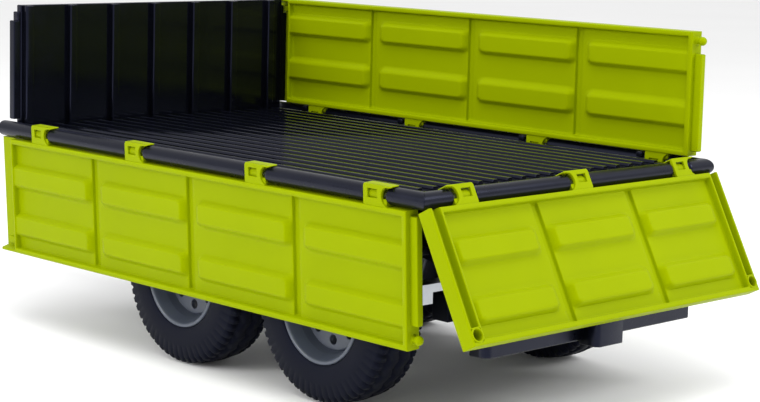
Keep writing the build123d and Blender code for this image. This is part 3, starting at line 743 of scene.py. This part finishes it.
def pressed_wall(xs, zs, inner_depth, outer_depth):
    """A closed slab from two height fields over one grid: x along, y out, z up."""
    x0, x1, z0, z1 = xs[0], xs[-1], zs[0], zs[-1]
    inner, outer = [], []
    for x in xs:
        for z in zs:
            near = min(x - x0, x1 - x, z - z0, z1 - z)
            t = max(0.0, 1 - near / rim_round)
            edge = rim_round * (1 - math.sqrt(max(0.0, 1 - t * t)))
            inner.append((x, -wall_in + max(inner_depth(x, z), edge), z))
            outer.append((x, -wall_in + wall_t - max(outer_depth(x, z), edge), z))
    rows, columns = len(xs), len(zs)
    total = rows * columns
    faces = grid_faces(rows, columns, flip=True)
    faces += [tuple(total + k for k in f) for f in grid_faces(rows, columns)]
    rim = ([i * columns for i in range(rows)]
           + [(rows - 1) * columns + j for j in range(1, columns)]
           + [i * columns + columns - 1 for i in range(rows - 2, -1, -1)]
           + [j for j in range(columns - 2, 0, -1)])
    for a, b in zip(rim, rim[1:] + rim[:1]):
        faces.append((b, a, total + a, total + b))
    return inner + outer, faces


def panel_depths(pocket_from, pocket_to, dividers, slots, slot_depth, slot_top, nub):
    """The two height fields of a wall. slots are the key slots at its ends, with a socket
    past each if slot_top stops it short. nub is (x from, x to, z from, z to) or None."""
    edges = [pocket_from]
    for middle in dividers:
        edges += [middle - divider_w / 2, middle + divider_w / 2]
    edges.append(pocket_to)
    fields = list(zip(edges[::2], edges[1::2]))
    low, high = wall_foot + lip, wall_h - lip
    open_ended = slot_top > wall_h
    last = len(fields) - 1

    def ribs(x, z, shrink):
        best = 0.0
        for k, (left, right) in enumerate(fields):
            left += (-pillow_past if k == 0 and open_ended else pillow_start_gap) + shrink
            right -= (-pillow_past if k == last and open_ended else pillow_end_gap) + shrink
            if left - 1 < x < right + 1:
                for bottom, top in pillow_bands:
                    best = max(best, pillow_height(x, z, left, right, bottom * wall_h,
                                                   top * wall_h))
        return best

    def inner(x, z):
        pocket = between(x, pocket_from, pocket_to, ramp) * between(z, low, high, ramp)
        on_field = max(between(x, left if k else left - 5, right if k < last else right + 5, ramp)
                       for k, (left, right) in enumerate(fields))
        depth = recess - (recess - field) * on_field
        depth -= (depth - pillow) * ribs(x, z, 0)
        depth *= pocket
        for slot_from, slot_to in slots:
            slot = between(x, slot_from, slot_to, ramp)
            slot *= between(z, -9, min(slot_top, wall_h - slot_lip), ramp)
            if nub:
                slot *= 1 - nub_share * (between(x, nub[0], nub[1], 0.4)
                                         * between(z, nub[2], nub[3], 0.4))
            depth = max(depth, slot_depth * slot)
            if not open_ended:
                socket = (between(x, slot_from - socket_room, slot_to + socket_room, 0.3)
                          * between(z, socket_low, socket_high, 0.3))
                depth = max(depth, socket_depth * socket)
        return depth

    def outer(x, z):
        pocket = between(x, pocket_from, pocket_to, back_ramp) * between(z, low, high, back_ramp)
        post = max(between(x, m - back_post_half, m + back_post_half, back_ramp)
                   for m in dividers)
        depth = (wall_t - recess - skin) * (1 - back_post_share * post)
        return pocket * (depth + ribs(x, z, 1.5))

    return inner, outer


first_divider = 68.0
divider_pitch = 62.627
side_dividers = [first_divider + divider_pitch * k for k in range(3)]
side_slot = (-2.0, 10.0)
end_slot_depth = 3.4
nub_box = (2.8, 7.8, 47.8, 50.8)
side_pocket = (11.3, bed_len - lip)
x_step = 1.5
z_step = 1.0
x_features = [*side_slot, *side_pocket, nub_box[0], nub_box[1]]
x_features += [m + s * divider_w / 2 for m in side_dividers for s in (-1, 1)]
z_features = [wall_foot + lip, wall_h - lip, nub_box[2], nub_box[3]]
side_wall = pressed_wall(grid_lines(0, bed_len, x_step, x_features, ramp),
                         grid_lines(wall_foot, wall_h, z_step, z_features, ramp),
                         *panel_depths(*side_pocket, side_dividers, [side_slot], end_slot_depth,
                                       no_stop, nub_box))

gate_half = 82.5
gate_slot = (77.7, 81.3)
gate_pocket = 76.4
gate_dividers = [-27.0, 27.0]
gate_slot_top = 47.3
x_features = [s * v for s in (-1, 1) for v in (
    gate_slot[0] - socket_room, *gate_slot, gate_slot[1] + socket_room, gate_pocket)]
x_features += [m + s * divider_w / 2 for m in gate_dividers for s in (-1, 1)]
z_features = [wall_foot + lip, wall_h - lip, gate_slot_top, socket_low, socket_high]
gate_panel = pressed_wall(grid_lines(-gate_half, gate_half, x_step, x_features, ramp),
                          grid_lines(wall_foot, wall_h, z_step, z_features, ramp),
                          *panel_depths(-gate_pocket, gate_pocket, gate_dividers,
                                        [(-gate_slot[1], -gate_slot[0]), gate_slot],
                                        end_slot_depth, gate_slot_top, None))


def hook(start, tongue):
    """A clip from x = start, hook_w long. tongue is 1 if it reaches past the far end, and -1
    if it reaches back past the start. Up is -Z here, as the wall hangs."""
    def face_outline():
        points = [(0.3, 5.2), (0.3, 4.0), (0.0, 3.2), (0.0, -2.9), (0.3, -3.6), (0.9, -3.9),
                  (hook_w + 1.6, -3.9), (hook_w + 2.1, -3.6), (hook_w + 2.1, -3.3),
                  (hook_w + 0.1, -3.2)]
        for k in range(11):
            z = -3.0 + 6.0 * k / 10
            points.append((hook_w - 2.6 * math.sqrt(max(0.0, 1 - (z / 3.3) ** 2)), z))
        return points + [(hook_w + 0.2, 3.8), (hook_w + 0.6, 5.2)]
    window = [(2.2, -2.2), (7.0, -2.2), (7.0, 1.1), (2.2, 1.1)]
    face = moved(cut_plate(face_outline(), [window], 1.2, 0.2),
                 Matrix.Translation((0, -2.95, 0)) @ Matrix.Rotation(math.pi / 2, 4, "X"))
    top = bar(0.2, hook_w + 1.9, rounded_section(-3.5, 1.4, -3.9, -3.25, 0.3), 0.25)
    core = bar(0.5, hook_w - 3.0, [(2.7 * math.cos(a), 2.7 * math.sin(a)) for a in
                                   [math.radians(10 * k) for k in range(36)]], 0.2)
    foot = bar(0.4, hook_w - 0.4, [(1.6, 1.2), (2.0, 4.6), (-2.9, 4.6), (-2.8, 1.2)], 0.2)
    shape = joined([face, top, core, foot])
    if tongue < 0:
        flip = Matrix.Translation((hook_w, 0, 0)) @ Matrix.Scale(-1, 4, (1, 0, 0))
        shape = moved(shape, flip)
    return moved(shape, Matrix.Translation((start, 0, 0)))


hinge_place = {}
right_hinge = Matrix.Translation((bed_front, hinge_half, hinge_z))
mirror = Matrix.Scale(-1, 4, (0, 1, 0))
left_axle = Matrix.Translation((bed_front, -hinge_half, hinge_z))
hang = Matrix.Rotation(math.radians(183), 4, "X")
hinge_place["right_side"] = right_hinge
hinge_place["left_side"] = left_axle @ hang @ mirror
gate_axle = Matrix.Translation((bed_front + rear_rod_x, 0, hinge_z))
gate_swing = Matrix.Rotation(math.radians(152.4), 4, "Y")
hinge_place["tailgate"] = gate_axle @ gate_swing @ Matrix.Rotation(-math.pi / 2, 4, "Z")

# The rib on a side wall's rear end that closes into the tailgate's slot, and its ball peg.
key_from, key_to = 5.8, 45.1
key_inner = -wall_in + 2.1
key_w = 2.8
key = moved(bar(key_from, key_to, rounded_section(key_inner, key_inner + key_w,
                                                  -(bed_len + 3.5), -(bed_len - 0.5), 0.45), 0.3),
            Matrix(((0, 0, -1, 0), (0, 1, 0, 0), (1, 0, 0, 0), (0, 0, 0, 1))))
ball_up = 50.3
ball_r = 1.8
ball_past = 2.5                   # the ball's centre past the wall's end
peg_at = (Matrix.Translation((0, key_inner + key_w / 2, ball_up))
          @ Matrix.Rotation(-math.pi / 2, 4, "Z"))
ball = [(bed_len + ball_past + ball_r * math.sin(math.radians(a)),
         ball_r * math.cos(math.radians(a)) + 0.005) for a in range(-45, 91, 15)]
peg = moved(turned([(bed_len - 0.4, 2.0), (bed_len + 0.05, 1.9), (bed_len + 0.3, 1.3)] + ball, 32),
            peg_at)
side_hook_shapes = [hook(start, 1) for start in side_hooks]
for name in ("left_side", "right_side"):
    wall = new_piece(f"{name}_panel", *moved(side_wall, hinge_place[name]), lime, name,
                     "green_wall")
    wall.modifiers.new("even_light", "WEIGHTED_NORMAL")
    clips = new_piece(f"{name}_hooks", *moved(joined(side_hook_shapes), hinge_place[name]), lime,
                      name, "green_wall")
    latch = new_piece(f"{name}_latch", *moved(joined([key, peg]), hinge_place[name]), lime, name,
                      "green_wall")
    for piece in (clips, latch):
        piece.modifiers.new("even_light", "WEIGHTED_NORMAL")
    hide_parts(name)

# The tailgate: hooks, and a raised ring round each socket that the ball pegs snap into.
gate_hook_shapes = [hook(-gate_hooks[0] - hook_w / 2, 1), hook(-hook_w / 2, 1),
                    hook(-gate_hooks[2] - hook_w / 2, -1)]
socket_at = 79.5
sockets = []
for side in (-1, 1):
    ring = turned([(4.9, 2.05), (0.2, 2.05), (-0.35, 2.1), (-0.5, 2.3), (-0.5, 2.6), (-0.3, 2.85),
                   (0.2, 2.9)], 28)
    sockets.append(moved(ring, Matrix.Translation((side * socket_at, -wall_in + 0.25, ball_up))))
gate = new_piece("tailgate_panel", *moved(gate_panel, hinge_place["tailgate"]), lime, "tailgate",
                 "green_wall")
clips = new_piece("tailgate_hooks", *moved(joined(gate_hook_shapes), hinge_place["tailgate"]),
                  lime, "tailgate", "green_wall")
socket_rings = new_piece("tailgate_sockets", *moved(joined(sockets), hinge_place["tailgate"]),
                         lime, "tailgate", "green_wall")
for piece in (gate, clips, socket_rings):
    piece.modifiers.new("even_light", "WEIGHTED_NORMAL")
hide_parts("tailgate")


# ---- Bumper and coupling ----
# A blue-black ABS bar under the tailgate with chamfered ends, and a coupling block with an
# upright pin hole at its middle, for a second trailer.

bumper_half = 60.0
bumper_from, bumper_to = 264.0, 272.0
bumper_low, bumper_high = 29.2, 39.2
lying = Matrix.Translation((bed_front, 0, (bumper_low + bumper_high) / 2))
outline = [(bumper_from, -bumper_half), (bumper_to - 1.5, -bumper_half + 1.0),
           (bumper_to, -bumper_half + 3.0), (bumper_to, bumper_half - 3.0),
           (bumper_to - 1.5, bumper_half - 1.0), (bumper_from, bumper_half)]
beam = new_piece("bumper_bar", *moved(cut_plate(outline, [], 10.0, 0.7), lying), tube_black,
                 "chassis", "chassis_black")
coupling_out = 280.0
coupling_half = 8.0
coupling_drop = 1.5
pin_hole = circle(276.0, 0, 2.6)
outline = [(bumper_to - 1, -coupling_half), (coupling_out - 1.6, -coupling_half),
           (coupling_out, -coupling_half + 1.6), (coupling_out, coupling_half - 1.6),
           (coupling_out - 1.6, coupling_half), (bumper_to - 1, coupling_half)]
lowered = Matrix.Translation((0, 0, -coupling_drop)) @ lying
block = new_piece("coupling_block", *moved(cut_plate(outline, [pin_hole], 10.0, 0.5), lowered),
                  tube_black, "chassis", "chassis_black")
for piece in (beam, block):
    piece.modifiers.new("even_light", "WEIGHTED_NORMAL")
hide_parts("rear_bumper")
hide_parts("rear_coupling")
